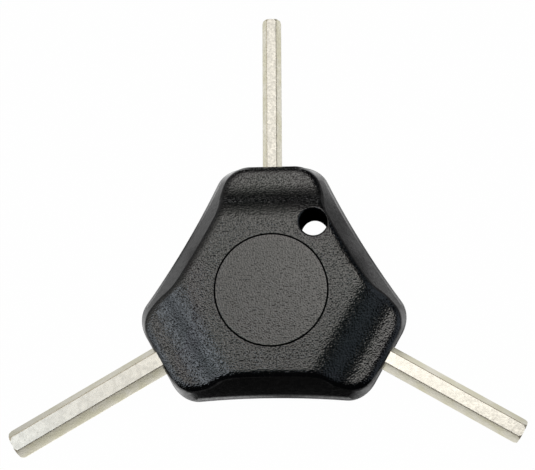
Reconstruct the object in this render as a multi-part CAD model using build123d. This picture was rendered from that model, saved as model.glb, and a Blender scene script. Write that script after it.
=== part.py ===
from build123d import *
import math
import os

os.makedirs("parts", exist_ok=True)

# A Y-shaped hex wrench for the hand: a moulded plastic handle with three lobes, and three
# hexagonal steel keys that stand out of it 120 degrees apart. The keys are laid in the mould
# and the handle is shot round them, so nothing turns or slides.
# Frame: the origin is the centre of the handle's back face, which the tool rests on. +Z runs
# through the handle and +Y along the 4 mm key. The handle is the same above and below its
# parting plane, so one half is built up from that plane and mirrored, and the whole is lifted.

# Handle, seen from above
lobe_reach = 30.0           # centre to the flat end of a lobe
lobe_width = 19.86          # of that end, between the lines of straight long sides
side_sweep_radius = 200.0   # the long sides curve in a little
corner_radius = 6.0         # between a long side and a lobe's end

# Handle, seen from the side
handle_thickness = 14.2     # between the two broad faces
lobe_thickness = 7.8        # where a lobe is stepped down, round its key
step_start = 15.8           # centre to where a broad face starts to fall
step_run = 10.0             # length of the fall, which is two arcs
step_turn_share = 0.54      # of the fall, where the first arc ends and the second begins
side_draft = 33.0           # degrees that the long sides lean in from the parting plane
end_draft = 4.0             # degrees that the lobe ends lean in
rim_radius = 2.2            # round the rim of each broad face
rim_wall_share = 0.85       # of a lobe's wall above the parting plane: the most a rim may take

# Witness ring of the mould's round insert, in both broad faces
ring_radius = 12.7
ring_width = 0.4
ring_depth = 0.4

# Hanging hole
hang_hole_radius = 3.2
hang_hole_reach = 18.2      # centre of the handle to the hole's axis
hang_hole_bearing = 58.0    # degrees from +X
hang_hole_mouth = 0.4       # width of the bevel round both its mouths

# Keys: width across flats, centre of the handle to the tip, and bearing in degrees from +X
key_4_width = 4.0
key_4_reach = 66.9
key_4_bearing = 90
key_5_width = 5.0
key_5_reach = 63.2
key_5_bearing = 330
key_6_width = 6.0
key_6_reach = 67.6
key_6_bearing = 210
key_corner_radius = 0.3     # along the six corners
key_end_rise = 0.1          # of the end's turned circle above the flats
key_end_length = 0.8        # of the turned end, which takes off the six corners only
key_root_reach = 6.0        # centre to the inner end of each key
grip_notch_reach = 13.0     # centre to the middle of the notch that the plastic fills
grip_notch_width = 2.4
grip_notch_depth = 0.5

overrun = 1.0               # how far a cutting tool stands past what it cuts

half_thickness = handle_thickness / 2
half_lobe = lobe_thickness / 2
flare = math.radians(30)    # between a lobe's own line and the line of a long side
waist_reach = lobe_reach * math.sin(flare) + lobe_width / 2 * math.cos(flare)
rim_limit = rim_wall_share * half_lobe
cutter_top = half_thickness + overrun
cutter_reach = lobe_reach + waist_reach
steepest = math.cos(math.radians(45))  # tells the walls' faces and edges from the rest
thirds = range(3)
third_turn = 360 / 3
lobe_bearing = 90           # of the first lobe
side_bearing = 30           # of the first long side


def wall_section(reach, draft):
    """All that lies outside a wall that leans in by draft degrees from the parting plane up."""
    slope = math.tan(math.radians(draft))
    with BuildSketch(Plane.XZ) as section:
        with BuildLine():
            Polyline(
                (reach + overrun * slope, -overrun),
                (reach - cutter_top * slope, cutter_top),
                (cutter_reach, cutter_top),
                (cutter_reach, -overrun),
                close=True,
            )
        make_face()
    return section.sketch


def side_cutter():
    """What lies outside one long side: its wall section turned about a far upright axis."""
    sweep_axis = Axis((waist_reach + side_sweep_radius, 0, 0), (0, 0, 1))
    half_swing = math.degrees(math.atan(lobe_reach / side_sweep_radius))
    ring = revolve(wall_section(waist_reach, side_draft), sweep_axis, 2 * half_swing)
    return ring.rotate(sweep_axis, -half_swing)


def end_cutter():
    """What lies beyond the end of one lobe."""
    return extrude(wall_section(lobe_reach, end_draft), cutter_reach, both=True)


def step_cutter():
    """All that lies above one lobe: the broad face falls in two arcs to the lobe's flat."""
    step_end = step_start + step_run
    drop = half_thickness - half_lobe
    turn = (step_start + step_turn_share * step_run, half_thickness - step_turn_share * drop)
    with BuildSketch(Plane.XZ) as section:
        with BuildLine():
            fall = TangentArc((step_start, half_thickness), turn, tangent=(1, 0))
            TangentArc(turn, (step_end, half_lobe), tangent=fall % 1)
            Polyline(
                (step_end, half_lobe),
                (cutter_reach, half_lobe),
                (cutter_reach, cutter_top),
                (step_start, cutter_top),
                (step_start, half_thickness),
            )
        make_face()
    return extrude(section.sketch, cutter_reach, both=True)


def rim_edges(half):
    """The edges that bound the upward faces together: each belongs to only one of them."""
    tops = [face for face in half.faces() if face.normal_at().Z > steepest]
    edges = [edge for face in tops for edge in face.edges()]
    return [edge for edge in edges if sum(edge.is_same(other) for other in edges) == 1]


def upper_half():
    """The handle from its parting plane up."""
    half = extrude(Circle(math.hypot(lobe_reach, waist_reach)), half_thickness)
    for third in thirds:
        half -= side_cutter().rotate(Axis.Z, side_bearing + third * third_turn)
        half -= end_cutter().rotate(Axis.Z, lobe_bearing + third * third_turn)
    corners = [e for e in half.edges() if abs(e.tangent_at(0.5).Z) > steepest]
    half = fillet(corners, corner_radius)
    for third in thirds:
        half -= step_cutter().rotate(Axis.Z, lobe_bearing + third * third_turn)
    return fillet(rim_edges(half), min(rim_radius, rim_limit))


def witness_ring():
    """The fine V groove that the round insert of the mould leaves in a broad face."""
    depth_share = (ring_depth + overrun) / ring_depth
    half_width = ring_width / 2 * depth_share
    with BuildSketch(Plane.XZ) as section:
        with BuildLine():
            Polyline(
                (ring_radius, half_thickness - ring_depth),
                (ring_radius - half_width, half_thickness + overrun),
                (ring_radius + half_width, half_thickness + overrun),
                close=True,
            )
        make_face()
    return revolve(section.sketch, Axis.Z)


def hanging_hole():
    """What a straight pin through both mould halves leaves open."""
    bearing = math.radians(hang_hole_bearing)
    hole_x = hang_hole_reach * math.cos(bearing)
    hole_y = hang_hole_reach * math.sin(bearing)
    pin = Cylinder(hang_hole_radius, 2 * cutter_top)
    return Pos(hole_x, hole_y, 0) * pin


def mouth_edges(handle):
    """The edges where the hanging hole meets the two broad faces and what falls from them."""
    tubes = handle.faces().filter_by(GeomType.CYLINDER)
    bores = [face for face in tubes if math.isclose(face.radius, hang_hole_radius)]
    edges = [edge for face in bores for edge in face.edges()]
    return [edge for edge in edges if abs(edge.center().Z) > half_lobe]


def handle_blank():
    """The handle before the keys take their room in it."""
    half = upper_half() - witness_ring()
    blank = half + half.mirror(Plane.XY) - hanging_hole()
    return chamfer(mouth_edges(blank), hang_hole_mouth)


def hex_key(width, reach, bearing):
    """A hexagonal bar with flats up and down, a turned tip and a grip notch near its root."""
    corner_reach = width / 2 / math.cos(math.radians(30))
    end_radius = width / 2 + key_end_rise
    across = Plane(origin=(key_root_reach, 0, 0), x_dir=(0, 1, 0), z_dir=(1, 0, 0))
    hexagon = RegularPolygon(corner_reach, 6)
    hexagon = fillet(hexagon.vertices(), key_corner_radius)
    bar = extrude(across * hexagon, reach - key_root_reach)
    with BuildSketch(Plane.XY) as section:
        with BuildLine():
            Polyline(
                (key_root_reach, 0),
                (key_root_reach, corner_reach),
                (reach - key_end_length, corner_reach),
                (reach, end_radius),
                (reach, 0),
                close=True,
            )
        make_face()
    turned = revolve(section.sketch, Axis.X)
    notch = Box(grip_notch_width, 2 * corner_reach, 2 * grip_notch_depth)
    notch = Pos(grip_notch_reach, 0, -width / 2) * notch
    return ((bar & turned) - notch).rotate(Axis.Z, bearing)


def save(shape, name, colour):
    lifted = Pos(0, 0, half_thickness) * shape
    lifted.label = name
    lifted.color = Color(*colour)
    export_step(lifted, f"parts/{name}.step")
    box = lifted.bounding_box()
    print(name, round(lifted.volume, 1), len(lifted.solids()), lifted.is_valid, box.size)


steel = (0.78, 0.76, 0.70)
plastic = (0.09, 0.09, 0.09)
keys = {
    "hex_key_4_mm": hex_key(key_4_width, key_4_reach, key_4_bearing),
    "hex_key_5_mm": hex_key(key_5_width, key_5_reach, key_5_bearing),
    "hex_key_6_mm": hex_key(key_6_width, key_6_reach, key_6_bearing),
}
handle = handle_blank()
for name, key in keys.items():
    handle -= key
    save(key, name, steel)
save(handle, "moulded_handle", plastic)
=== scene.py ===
import math

import bpy
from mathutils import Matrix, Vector


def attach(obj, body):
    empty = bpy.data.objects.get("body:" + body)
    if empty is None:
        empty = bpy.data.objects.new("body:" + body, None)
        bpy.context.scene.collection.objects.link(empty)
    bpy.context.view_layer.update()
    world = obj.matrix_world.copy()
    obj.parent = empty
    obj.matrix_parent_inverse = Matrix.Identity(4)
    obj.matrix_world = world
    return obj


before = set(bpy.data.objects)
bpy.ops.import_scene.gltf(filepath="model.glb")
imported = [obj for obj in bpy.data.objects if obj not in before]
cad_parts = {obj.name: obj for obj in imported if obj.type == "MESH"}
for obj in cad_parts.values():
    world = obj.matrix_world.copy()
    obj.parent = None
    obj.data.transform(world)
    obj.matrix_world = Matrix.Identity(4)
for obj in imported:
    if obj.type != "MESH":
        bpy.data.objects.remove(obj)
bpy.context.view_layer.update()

MM = 0.001
FULL_TURN = 360
QUARTER_TURN = 90
BLACK = (0.0, 0.0, 0.0)
WHITE = (1.0, 1.0, 1.0)

# Camera, fitted to the key edges, the ring, the hole and the handle's outline: metres, radians,
# and millimetres for lens and sensor
CAMERA_PLACE = (0.01676, -0.04259, 0.25853)
CAMERA_TURN = (0.2206, 0.0722, -0.0036)
CAMERA_LENS = 74.82
CAMERA_SENSOR = 36.0
CAMERA_CLIP = (0.01, 20.0)

# Handle
PARTING = 7.1 * MM
LOBE_REACH = 30.0 * MM
RING_RADIUS = 12.7 * MM
HOLE_CENTRE = (9.645 * MM, 15.434 * MM)
HOLE_RADIUS = 3.2 * MM

# Keys: width across flats by bearing in degrees from +X
KEY_WIDTHS = {90: 4.0 * MM, 210: 6.0 * MM, 330: 5.0 * MM}

# Rounded parting edge, one stretch to each long side
SIDE_BEARINGS = (30, 150, 270)
SIDE_TO_KEY = 60              # degrees from a long side's middle to the key at either end
EDGE_DEPTH = 0.80 * MM        # from the parting outline in to the skin's upper and lower rims
EDGE_HEIGHT = 1.25 * MM       # from the parting plane up or down to those rims
EDGE_STAND = 0.045 * MM       # from the parting outline out to the skin's middle line
EDGE_PROFILE = ((-EDGE_DEPTH, EDGE_HEIGHT), (EDGE_STAND, 0.0), (-EDGE_DEPTH, -EDGE_HEIGHT))
EDGE_CLEARANCE = 0.15 * MM    # between its ends and the keys
OUTLINE_LEAST = 20.0 * MM     # from the centre: nearer points belong to the key pockets
OUTLINE_OFF = 0.002 * MM      # the most that a point may lie off the parting plane
OUTLINE_SPACING = 0.02 * MM   # the least between two points
OUTLINE_MARGIN = 0.01         # radians kept free at both ends of a stretch

# Rounded lip of the hanging hole, front and back
LIP_WIDTH = 0.62 * MM
LIP_INSET = 0.02 * MM         # how far it stands into the bore
LIP_SINK = 0.005 * MM         # how far below the broad face it starts
LIP_TURNS = 72
LIP_STEPS = 8
PROBE_HEIGHT = 1.0            # well above the part, where the rays down to its skin start

# In what follows, facing is how squarely a surface looks up or down: 1 on the broad faces and
# about 0.55 on the leaning walls. Tuples of two, four or five values that a ramp takes are its
# lower and upper limit, what it gives at each (0 and 1 if left out) and its kind. A noise takes
# its size, its detail and its roughness.

# Black plastic
GRAIN_NOISE = (0.33 * MM, 0.0)
GRAIN_DEPTH = 0.15 * MM
GRAIN_BY_FACING = (0.72, 0.86, 0.12, 1.0)
GRAIN_ON_FLATS = (0.96, 0.995, 0.72, 0.5)
DISC_TO_FACE = (RING_RADIUS - 0.1 * MM, RING_RADIUS + 0.1 * MM, 0.68, 1.0)
# Painted shade in the low pits of the grain on the broad faces, as if in their own shadow
GRAIN_PIT_SHADE = (0.3, 0.64, 0.72, 0.0, "LINEAR")
PIT_SHADE_BY_FACING = (0.95, 0.99, 0.85, 1.0)
WALL_NOISE = (0.7 * MM, 1.0)
WALL_PITS = (0.3, 0.7, 0.75, 0.15)
WALL_TO_BROAD = (0.6, 0.8)
# Painted sheen: reflection made stronger on the broad faces and weaker on the leaning walls
PAINTED_SHEEN_BY_FACING = (0.55, 0.8, 0.88, 1.34)
PLASTIC_TONE_NOISE = (6 * MM, 3.0)
PLASTIC_DARK = (0.002, 0.002, 0.0022)
PLASTIC_LIGHT = (0.0035, 0.0035, 0.0035)
PLASTIC_ROUGH_NOISE = (0.8 * MM, 2.0)
PLASTIC_ROUGHNESS = (0.3, 0.7, 0.12, 0.17)
PLASTIC_SPECULAR = 0.9
PLASTIC_IOR = 1.55

# Nickel plate: roughness, and the painted brightness of the broad flats, by the millimetres across
# flats that a node's name gives
KEY_ROUGHNESS_AND_TOP_BRIGHTNESS = {4: (0.32, 0.88), 5: (0.14, 0.88), 6: (0.26, 1.01)}
MOTTLE_NOISE = (1.2 * MM, 4.0, 0.6)
PATCH_NOISE = (3.5 * MM, 2.0)
MOTTLE = (0.35, 0.65)
# Broad flats painted lighter and side flats painted darker and yellower: painted light and painted
# shade on one plate
BROAD_DARK = (0.66, 0.64, 0.585)
BROAD_LIGHT = (0.78, 0.755, 0.69)
SIDE_DARK = (0.63, 0.60, 0.46)
SIDE_LIGHT = (0.70, 0.67, 0.57)
# Painted highlight: the corners between the flats are painted paler, as if they caught more light
CORNER_HIGHLIGHT_DARK = (0.90, 0.80, 0.62)
CORNER_HIGHLIGHT_LIGHT = (0.98, 0.90, 0.74)
SIDE_TO_BROAD = (0.55, 0.95)
CORNER_FROM_SIDE = (0.51, 0.55)
CORNER_TO_BROAD = (0.96, 0.995, 1.0, 0.0)
CORNER_ROUGHNESS = 0.6
PLATE_ROUGH_NOISE = (0.5 * MM, 3.0)
PLATE_ROUGH_SPAN = (0.3, 0.7)
PLATE_ROUGH_SHARES = (0.8, 1.2)  # of a key's own roughness
PLATE_RELIEF_NOISE = (0.6 * MM, 3.0)
PLATE_RELIEF_DEPTH = 0.03 * MM
PLATE_RELIEF_STRENGTH = 0.35

# Floor, and how it looks to the camera
FLOOR_RADIUS = 4.0
FLOOR_TURNS = 96
FLOOR_DROP = 0.05 * MM
FLOOR_COLOUR = (0.9, 0.9, 0.9)
FLOOR_ROUGHNESS = 0.9
FLOOR_SPECULAR = 0.1
FLOOR_WHITE_SHARE = 0.99      # the rest takes the object's shadow

# Floor as the keys and walls mirror it, with painted light and shade: how white the painted light
# is on the two sides of each key, by the key's bearing, a painted light band between the keys, and
# painted shade where it is darker
PAINTED_KEY_SIDE_LIGHT = {90: (0.84, 1.15), 210: (1.4, 0.5), 330: (0.44, 0.82)}
PAINTED_PATTERN_SHIFT = 1.3 * MM     # of that pattern along X
PAINTED_LIGHT_LEAST = 0.19         # further from the keys
KEY_SIDES = (-4 * MM, 4 * MM)
KEY_STRIP = (20 * MM, 28 * MM, 1.0, 0.0)
LOBE_LENGTH = 20 * MM
LOBE_SHADE = (13 * MM, 19 * MM, 0.2, 1.0)
BAND = (31.6 * MM, 33.0 * MM, 0.35, 0.0)
BAND_X = (-10 * MM, 10 * MM, 1.0, 1.5)
BAND_Y = (-30 * MM, -10 * MM, 0.4, 1.0)
BAND_UPPER_Y = (20 * MM, 28 * MM, 1.0, 0.28)
BAND_RIGHT_X = (0.0, 10 * MM, 1.0, 0.0)
UNDER_MIDDLE_Y = 2 * MM
# Painted shadow under the handle, and below it painted shade under the 4 mm key and before the
# lower long side
UNDER = (24.5 * MM, 33 * MM)
UPPER_SHADE_Y = (26 * MM, 31 * MM, 1.0, 0.05)
UPPER_SHADE_X = (7 * MM, 11 * MM)
LOWER_SHADE_Y = (-45.5 * MM, -41.5 * MM, 0.2, 1.0)
LOWER_SHADE_X = (15 * MM, 21 * MM)

# Studio: strength, colour and limits of each soft light. The limits are in the x, y or z of the
# direction that it is seen in, or in radians round the upright axis.
OVERHEAD = 1.2
OVERHEAD_COLOUR = (1.0, 0.975, 0.93)
OVERHEAD_FRONT_Y = (-0.03, 0.07)
OVERHEAD_BACK_Y = (0.36, 0.98, 1.0, 0.0, "LINEAR")
OVERHEAD_BACK_POWER = 1.5
OVERHEAD_LEFT_X = (-0.95, 0.1, 0.4, 1.15)
OVERHEAD_MIDDLE_X = (-0.13, 0.0, 0.92, 1.74, "LINEAR")
OVERHEAD_RIGHT_X = (0.1, 0.38, 1.0, 0.0)
DIP_LEFT_X = (0.01, 0.035, 0.0, 0.45)
DIP_RIGHT_X = (0.04, 0.14, 1.0, 0.3)
DIP_BACK_Y = (0.13, 0.16, 1.0, 0.0)
LEFT_LIGHT = 2.25
LEFT_COLOUR = (0.84, 0.92, 1.0)
LEFT_FRONT = (math.radians(-34), math.radians(-27))  # from -X towards +Y
LEFT_TOP_Z = (0.955, 0.985, 1.0, 0.0)
LEFT_LOW_Z = (0.3, 0.75, 0.35, 1.0)
RIGHT_PANEL = 0.32
RIGHT_COLOUR = (0.72, 0.85, 1.0)
RIGHT_SIDES = (math.radians(26), math.radians(38), 1.0, 0.0)  # from +X, either way
RIGHT_TOP_Z = (0.55, 0.85, 1.0, 0.0)
BACKGROUND = 0.009
BACKGROUND_COLOUR = (0.7, 0.82, 1.0)
BACKDROP = 1.0

# Two inputs and the output of a Mix node, by what it mixes
MIX_SOCKETS = {"FLOAT": (2, 3, 0), "RGBA": (6, 7, 2)}


class Graph:
    """Short calls for one node tree."""

    def __init__(self, tree):
        self.nodes = tree.nodes
        self.links = tree.links

    def feed(self, socket, value):
        """Link a socket to another one, or set it to a number or a colour."""
        if isinstance(value, bpy.types.NodeSocket):
            self.links.new(value, socket)
        elif isinstance(value, tuple):
            socket.default_value = (*value, 1)
        elif value is not None:
            socket.default_value = value

    def join(self, kind, *values):
        """The output of a new node whose inputs take values in their order."""
        node = self.nodes.new(kind)
        for socket, value in zip(node.inputs, values):
            self.feed(socket, value)
        return node.outputs[0]

    def calc(self, operation, first, second=None):
        node = self.nodes.new("ShaderNodeMath")
        node.operation = operation
        self.feed(node.inputs[0], first)
        self.feed(node.inputs[1], second)
        return node.outputs[0]

    def product(self, *factors):
        result = factors[0]
        for factor in factors[1:]:
            result = self.calc("MULTIPLY", result, factor)
        return result

    def length(self, first, second):
        squares = [self.calc("MULTIPLY", side, side) for side in (first, second)]
        return self.calc("SQRT", self.calc("ADD", *squares))

    def turned(self, x, y, bearing):
        """How far a point of the plane lies in the direction of bearing."""
        angle = math.radians(bearing)
        return self.calc("ADD", self.product(x, math.cos(angle)), self.product(y, math.sin(angle)))

    def ramp(self, value, low, high, to_low=0.0, to_high=1.0, kind="SMOOTHSTEP"):
        """to_low below low, to_high above high, and a smooth or straight way between them."""
        node = self.nodes.new("ShaderNodeMapRange")
        node.interpolation_type = kind
        node.inputs["From Min"].default_value = low
        node.inputs["From Max"].default_value = high
        node.inputs["To Min"].default_value = to_low
        node.inputs["To Max"].default_value = to_high
        self.links.new(value, node.inputs["Value"])
        return node.outputs["Result"]

    def mix(self, kind, factor, first, second):
        first_input, second_input, output = MIX_SOCKETS[kind]
        node = self.nodes.new("ShaderNodeMix")
        node.data_type = kind
        self.feed(node.inputs[0], factor)
        self.feed(node.inputs[first_input], first)
        self.feed(node.inputs[second_input], second)
        return node.outputs[output]

    def blend(self, factor, first, second):
        """One number where factor is 0, the other where it is 1."""
        return self.mix("FLOAT", factor, first, second)

    def colour(self, factor, first, second):
        """One colour where factor is 0, the other where it is 1."""
        return self.mix("RGBA", factor, first, second)

    def noise(self, place, size, detail, roughness=0.5):
        node = self.nodes.new("ShaderNodeTexNoise")
        node.inputs["Scale"].default_value = 1 / size
        node.inputs["Detail"].default_value = detail
        node.inputs["Roughness"].default_value = roughness
        self.links.new(place, node.inputs["Vector"])
        return node.outputs["Fac"]

    def split(self, vector):
        node = self.nodes.new("ShaderNodeSeparateXYZ")
        self.links.new(vector, node.inputs[0])
        return list(node.outputs)

    def coordinates(self, kind):
        return self.nodes.new("ShaderNodeTexCoord").outputs[kind]

    def facing(self):
        """1 on surfaces that look straight up or down, 0 on upright ones."""
        normal = self.nodes.new("ShaderNodeNewGeometry").outputs["Normal"]
        return self.calc("ABSOLUTE", self.split(normal)[2])

    def bump(self, height, depth, strength=1.0):
        node = self.nodes.new("ShaderNodeBump")
        node.inputs["Strength"].default_value = strength
        node.inputs["Distance"].default_value = depth
        self.links.new(height, node.inputs["Height"])
        return node.outputs["Normal"]


def new_material(name):
    material = bpy.data.materials.new(name)
    material.use_nodes = True
    graph = Graph(material.node_tree)
    return material, graph, graph.nodes["Principled BSDF"]


def black_plastic():
    """Semi-gloss black moulding: leather grain with fine pits, fainter on the disc and walls, with
    painted shade in the pits and painted sheen on the broad faces.
    """
    material, graph, shader = new_material("black_moulded_plastic")
    place = graph.coordinates("Object")
    x, y = graph.split(place)[:2]
    facing = graph.facing()
    outside = graph.ramp(graph.length(x, y), *DISC_TO_FACE)

    grain = graph.noise(place, *GRAIN_NOISE)
    depth_by_facing = graph.ramp(facing, *GRAIN_BY_FACING)
    height = graph.product(grain, depth_by_facing, graph.ramp(facing, *GRAIN_ON_FLATS), outside)
    graph.feed(shader.inputs["Normal"], graph.bump(height, GRAIN_DEPTH))

    # Painted shade in the low pits of the grain; random dull spots on the walls
    grain_pit_shade = graph.product(graph.ramp(grain, *GRAIN_PIT_SHADE), outside, graph.ramp(facing, *PIT_SHADE_BY_FACING))
    wall_pits = graph.ramp(graph.noise(place, *WALL_NOISE), *WALL_PITS)
    pit_shade_and_mottle = graph.blend(graph.ramp(facing, *WALL_TO_BROAD), wall_pits, grain_pit_shade)
    # The specular tint carries the painted pit shade, the wall mottle and the painted sheen of the
    # broad faces
    gloss_with_painted_shade_and_sheen = graph.product(graph.calc("SUBTRACT", 1.0, pit_shade_and_mottle), graph.ramp(facing, *PAINTED_SHEEN_BY_FACING))
    graph.feed(shader.inputs["Specular Tint"], graph.colour(gloss_with_painted_shade_and_sheen, BLACK, WHITE))

    tone = graph.noise(place, *PLASTIC_TONE_NOISE)
    graph.feed(shader.inputs["Base Color"], graph.colour(tone, PLASTIC_DARK, PLASTIC_LIGHT))
    rough = graph.ramp(graph.noise(place, *PLASTIC_ROUGH_NOISE), *PLASTIC_ROUGHNESS)
    graph.feed(shader.inputs["Roughness"], rough)
    shader.inputs["Specular IOR Level"].default_value = PLASTIC_SPECULAR
    shader.inputs["IOR"].default_value = PLASTIC_IOR
    return material


def plated_steel(name, roughness, painted_top_brightness):
    """Satin nickel plate on drawn bar: mottled flats, the broad ones painted lighter and the side
    ones painted darker as light and shade, and duller corners with a painted highlight.
    """
    material, graph, shader = new_material(name)
    place = graph.coordinates("Object")
    facing = graph.facing()

    tone = graph.ramp(graph.noise(place, *MOTTLE_NOISE), *MOTTLE)
    patch = graph.ramp(graph.noise(place, *PATCH_NOISE), *MOTTLE)
    broad_dark = tuple(painted_top_brightness * channel for channel in BROAD_DARK)
    broad_light = tuple(painted_top_brightness * channel for channel in BROAD_LIGHT)
    # Painted light on the broad flats with each key's painted brightness, and painted shade on the
    # side flats
    broad = graph.colour(tone, broad_dark, broad_light)
    side = graph.colour(patch, SIDE_DARK, SIDE_LIGHT)
    flats = graph.colour(graph.ramp(facing, *SIDE_TO_BROAD), side, broad)
    from_side = graph.ramp(facing, *CORNER_FROM_SIDE)
    corner = graph.product(from_side, graph.ramp(facing, *CORNER_TO_BROAD))
    # Painted highlight on the corners between the flats
    corner_highlight = graph.colour(tone, CORNER_HIGHLIGHT_DARK, CORNER_HIGHLIGHT_LIGHT)
    graph.feed(shader.inputs["Base Color"], graph.colour(corner, flats, corner_highlight))
    shader.inputs["Metallic"].default_value = 1.0

    rough_span = (*PLATE_ROUGH_SPAN, *(share * roughness for share in PLATE_ROUGH_SHARES))
    rough = graph.ramp(graph.noise(place, *PLATE_ROUGH_NOISE), *rough_span)
    graph.feed(shader.inputs["Roughness"], graph.blend(corner, rough, CORNER_ROUGHNESS))
    relief = graph.noise(place, *PLATE_RELIEF_NOISE)
    normal = graph.bump(relief, PLATE_RELIEF_DEPTH, PLATE_RELIEF_STRENGTH)
    graph.feed(shader.inputs["Normal"], normal)
    return material


def assign(node, material):
    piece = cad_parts[node]
    for slot in piece.material_slots:
        slot.material = material
    if not piece.material_slots:
        piece.data.materials.append(material)


def add_strip(name, rings, material, closed=False):
    """A skin over rings of points, each ring joined to the next; it rides on the root."""
    width = len(rings[0])
    spans = len(rings) if closed else len(rings) - 1
    points = [point for ring in rings for point in ring]
    faces = []
    for row in range(spans):
        first = row * width
        second = (row + 1) % len(rings) * width
        for column in range(width - 1):
            faces.append((first + column, first + column + 1, second + column + 1, second + column))
    mesh = bpy.data.meshes.new(name)
    mesh.from_pydata(points, [], faces)
    mesh.update()
    mesh.shade_smooth()
    mesh.materials.append(material)
    piece = bpy.data.objects.new(name, mesh)
    bpy.context.scene.collection.objects.link(piece)
    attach(piece, "root")


def direction(bearing):
    """A step of length 1 in the plan."""
    angle = math.radians(bearing)
    return Vector((math.cos(angle), math.sin(angle)))


def beside_key(bearing, side):
    """A point of a lobe's end in the parting plane, just clear of its key on one side."""
    along = direction(bearing)
    across = direction(bearing + QUARTER_TURN)
    corner_reach = KEY_WIDTHS[bearing % FULL_TURN] / math.sqrt(3)
    return along * LOBE_REACH + across * side * (corner_reach + EDGE_CLEARANCE)


def parting_outline():
    """The handle's points in its parting plane, but for those of the key pockets."""
    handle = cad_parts["moulded_handle"]
    corners = [handle.matrix_world @ vertex.co for vertex in handle.data.vertices]
    level = [point.xy for point in corners if abs(point.z - PARTING) < OUTLINE_OFF]
    return [point for point in level if point.length > OUTLINE_LEAST]


def parting_line(outline, side_bearing):
    """The stretch of the outline from one key, round a long side, to the next key."""
    middle = direction(side_bearing)
    start = beside_key(side_bearing - SIDE_TO_KEY, 1)
    stop = beside_key(side_bearing + SIDE_TO_KEY, -1)
    least = OUTLINE_MARGIN - start.angle(middle)
    most = stop.angle(middle) - OUTLINE_MARGIN
    turns = [(math.atan2(middle.cross(point), middle.dot(point)), point) for point in outline]
    turns = [(turn, point) for turn, point in turns if least < turn < most]
    turns.sort(key=lambda pair: pair[0])
    line = [start] + [point for turn, point in turns] + [stop]
    steps = zip(line, line[1:])
    return [start] + [point for back, point in steps if (point - back).length > OUTLINE_SPACING]


def parting_edges(material):
    """The rounded edge that the two mould halves share, in one stretch between each two keys."""
    outline = parting_outline()
    for side_bearing in SIDE_BEARINGS:
        line = parting_line(outline, side_bearing)
        rings = []
        for number, point in enumerate(line):
            ahead = line[min(number + 1, len(line) - 1)]
            back = line[max(number - 1, 0)]
            tangent = (ahead - back).normalized()
            outward = Vector((tangent.y, -tangent.x))
            rings.append([(*(point + outward * out), PARTING + up) for out, up in EDGE_PROFILE])
        add_strip(f"parting_edge_{side_bearing}", rings, material)


def hole_point(spoke, reach):
    """A point of the plan, reach away from the hanging hole's axis."""
    return (HOLE_CENTRE[0] + reach * spoke.x, HOLE_CENTRE[1] + reach * spoke.y)


def surface_height(x, y):
    """Height of the handle's upper skin over a point of the plan."""
    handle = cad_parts["moulded_handle"]
    start = Vector((x, y, PROBE_HEIGHT))
    hit, place = handle.ray_cast(start, Vector((0, 0, -1)))[:2]
    return place.z if hit else PARTING


def lip_ring(spoke):
    """One curve of the lip: it leaves along the broad face and ends down the bore."""
    outer = HOLE_RADIUS + LIP_WIDTH
    further = outer + LIP_WIDTH / 2
    inner = HOLE_RADIUS - LIP_INSET
    face = surface_height(*hole_point(spoke, outer))
    slope = (face - surface_height(*hole_point(spoke, further))) / (further - outer)
    corner = face + slope * (outer - inner)
    ring = []
    for step in range(LIP_STEPS + 1):
        share = step / LIP_STEPS
        outer_share = (1 - share) ** 2
        reach = outer_share * outer + (1 - outer_share) * inner
        height = outer_share * face + 2 * share * (1 - share) * corner
        height += share ** 2 * (corner - LIP_WIDTH) - LIP_SINK
        ring.append((*hole_point(spoke, reach), height))
    return ring


def hole_lips(material):
    """The rounded lips of the hanging hole, the back one a mirror image of the front one."""
    spokes = [direction(FULL_TURN * number / LIP_TURNS) for number in range(LIP_TURNS)]
    front = [lip_ring(spoke) for spoke in spokes]
    back = [[(x, y, 2 * PARTING - z) for x, y, z in reversed(ring)] for ring in front]
    add_strip("hole_lip_front", front, material, closed=True)
    add_strip("hole_lip_back", back, material, closed=True)


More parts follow.
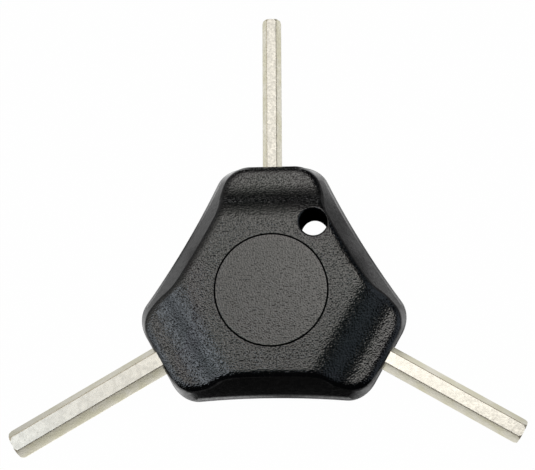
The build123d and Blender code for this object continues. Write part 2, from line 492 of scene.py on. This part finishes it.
def painted_floor_reflection(graph, x, y):
    """How white the floor is in reflections, all painted: painted light along the keys, painted
    shade between them and round the lobes, and the darkest painted shade under the handle and the 4
    mm key and before the lower long side."""
    shifted = graph.calc("SUBTRACT", x, PAINTED_PATTERN_SHIFT)
    aside = graph.length(x, y)
    beside = PAINTED_LIGHT_LEAST
    lobe_shades = []
    for bearing, sides in PAINTED_KEY_SIDE_LIGHT.items():
        along = graph.turned(shifted, y, bearing)
        across = graph.turned(shifted, y, bearing - QUARTER_TURN)
        # A point on the far side of the centre counts as a metre further away.
        opposite = graph.calc("LESS_THAN", along, 0.0)
        away = graph.calc("ADD", graph.calc("ABSOLUTE", across), opposite)
        aside = graph.calc("MINIMUM", aside, away)
        white = graph.product(graph.ramp(across, *KEY_SIDES, *sides), graph.ramp(away, *KEY_STRIP))
        beside = graph.calc("MAXIMUM", beside, white)
        beyond = graph.calc("MAXIMUM", graph.calc("SUBTRACT", along, LOBE_LENGTH), 0.0)
        lobe_shades.append(graph.ramp(graph.length(away, beyond), *LOBE_SHADE))

    # Painted light in a band between the keys
    band = graph.product(
        graph.ramp(aside, *BAND),
        graph.ramp(x, *BAND_X),
        graph.ramp(y, *BAND_Y),
        graph.calc("MAXIMUM", graph.ramp(y, *BAND_UPPER_Y), graph.ramp(x, *BAND_RIGHT_X)),
    )
    from_middle = graph.length(x, graph.calc("SUBTRACT", y, UNDER_MIDDLE_Y))
    width = graph.calc("ABSOLUTE", x)
    # Painted shade round the lobes, under the handle, under the 4 mm key and before the lower long
    # side
    return graph.product(
        graph.calc("ADD", beside, band),
        graph.product(*lobe_shades),
        graph.ramp(from_middle, *UNDER),
        graph.calc("MAXIMUM", graph.ramp(y, *UPPER_SHADE_Y), graph.ramp(width, *UPPER_SHADE_X)),
        graph.calc("MAXIMUM", graph.ramp(y, *LOWER_SHADE_Y), graph.ramp(width, *LOWER_SHADE_X)),
    )


def pale_floor():
    """White to the camera, but for a little of the object's own shadow, and patterned in
    reflections, as the photograph's keys and walls show it."""
    material, graph, shader = new_material("pale_floor")
    graph.feed(shader.inputs["Base Color"], FLOOR_COLOUR)
    shader.inputs["Roughness"].default_value = FLOOR_ROUGHNESS
    shader.inputs["Specular IOR Level"].default_value = FLOOR_SPECULAR
    x, y = graph.split(graph.coordinates("Object"))[:2]
    path = graph.nodes.new("ShaderNodeLightPath").outputs
    mirrored = graph.calc("ADD", path["Is Glossy Ray"], path["Is Transmission Ray"])
    seen = graph.calc("ADD", graph.product(path["Is Camera Ray"], FLOOR_WHITE_SHARE), mirrored)
    # In reflections the floor shows only the painted light and shade of painted_floor_reflection
    strength = graph.blend(mirrored, 1.0, painted_floor_reflection(graph, x, y))
    white = graph.join("ShaderNodeEmission", WHITE, strength)
    surface = graph.join("ShaderNodeMixShader", seen, shader.outputs[0], white)
    graph.feed(graph.nodes["Material Output"].inputs["Surface"], surface)
    bpy.ops.mesh.primitive_circle_add(
        vertices=FLOOR_TURNS,
        radius=FLOOR_RADIUS,
        fill_type="NGON",
        location=(0, 0, -FLOOR_DROP),
    )
    floor = bpy.context.object
    floor.name = "floor"
    floor.data.materials.append(material)


def overhead_light(graph, x, y):
    """A wide light above and behind: brightest over the middle, with a dim strip in it."""
    dip = graph.product(
        graph.ramp(x, *DIP_LEFT_X),
        graph.ramp(x, *DIP_RIGHT_X),
        graph.ramp(y, *DIP_BACK_Y),
    )
    return graph.product(
        graph.ramp(y, *OVERHEAD_FRONT_Y),
        graph.calc("SUBTRACT", 1.0, dip),
        graph.ramp(x, *OVERHEAD_LEFT_X),
        graph.ramp(x, *OVERHEAD_MIDDLE_X),
        graph.ramp(x, *OVERHEAD_RIGHT_X),
        graph.calc("POWER", graph.ramp(y, *OVERHEAD_BACK_Y), OVERHEAD_BACK_POWER),
        OVERHEAD,
    )


def left_light(graph, x, y, z):
    """A tall light on the left, from its front limit to where the overhead light starts."""
    turn = graph.calc("ARCTAN2", y, graph.calc("MULTIPLY", x, -1.0))
    return graph.product(
        graph.ramp(turn, *LEFT_FRONT),
        graph.calc("SUBTRACT", 1.0, graph.ramp(y, *OVERHEAD_FRONT_Y)),
        graph.ramp(z, *LEFT_TOP_Z),
        graph.ramp(z, *LEFT_LOW_Z),
        LEFT_LIGHT,
    )


def right_light(graph, x, y, z):
    """A faint panel on the right."""
    turn = graph.calc("ABSOLUTE", graph.calc("ARCTAN2", y, x))
    return graph.product(graph.ramp(turn, *RIGHT_SIDES), graph.ramp(z, *RIGHT_TOP_Z), RIGHT_PANEL)


def studio():
    """The soft lights added up, and a white backdrop for the camera."""
    world = bpy.data.worlds.new("studio")
    bpy.context.scene.world = world
    world.use_nodes = True
    graph = Graph(world.node_tree)
    x, y, z = graph.split(graph.coordinates("Generated"))
    sky = graph.join("ShaderNodeBackground", OVERHEAD_COLOUR, overhead_light(graph, x, y))
    for colour, strength in (
        (LEFT_COLOUR, left_light(graph, x, y, z)),
        (RIGHT_COLOUR, right_light(graph, x, y, z)),
        (BACKGROUND_COLOUR, BACKGROUND),
    ):
        light = graph.join("ShaderNodeBackground", colour, strength)
        sky = graph.join("ShaderNodeAddShader", sky, light)
    backdrop = graph.join("ShaderNodeBackground", WHITE, BACKDROP)
    to_camera = graph.nodes.new("ShaderNodeLightPath").outputs["Is Camera Ray"]
    surface = graph.join("ShaderNodeMixShader", to_camera, sky, backdrop)
    graph.feed(graph.nodes["World Output"].inputs["Surface"], surface)


def camera():
    data = bpy.data.cameras.new("camera")
    data.lens = CAMERA_LENS
    data.sensor_width = CAMERA_SENSOR
    data.sensor_fit = "HORIZONTAL"
    data.clip_start, data.clip_end = CAMERA_CLIP
    eye = bpy.data.objects.new("camera", data)
    eye.location = CAMERA_PLACE
    eye.rotation_euler = CAMERA_TURN
    bpy.context.scene.collection.objects.link(eye)
    bpy.context.scene.camera = eye


camera()
studio()
pale_floor()
plastic = black_plastic()
assign("moulded_handle", plastic)
parting_edges(plastic)
hole_lips(plastic)
for size, roughness_and_brightness in KEY_ROUGHNESS_AND_TOP_BRIGHTNESS.items():
    assign(f"hex_key_{size}_mm", plated_steel(f"nickel_plate_{size}", *roughness_and_brightness))

bpy.context.scene.view_settings.view_transform = "Standard"
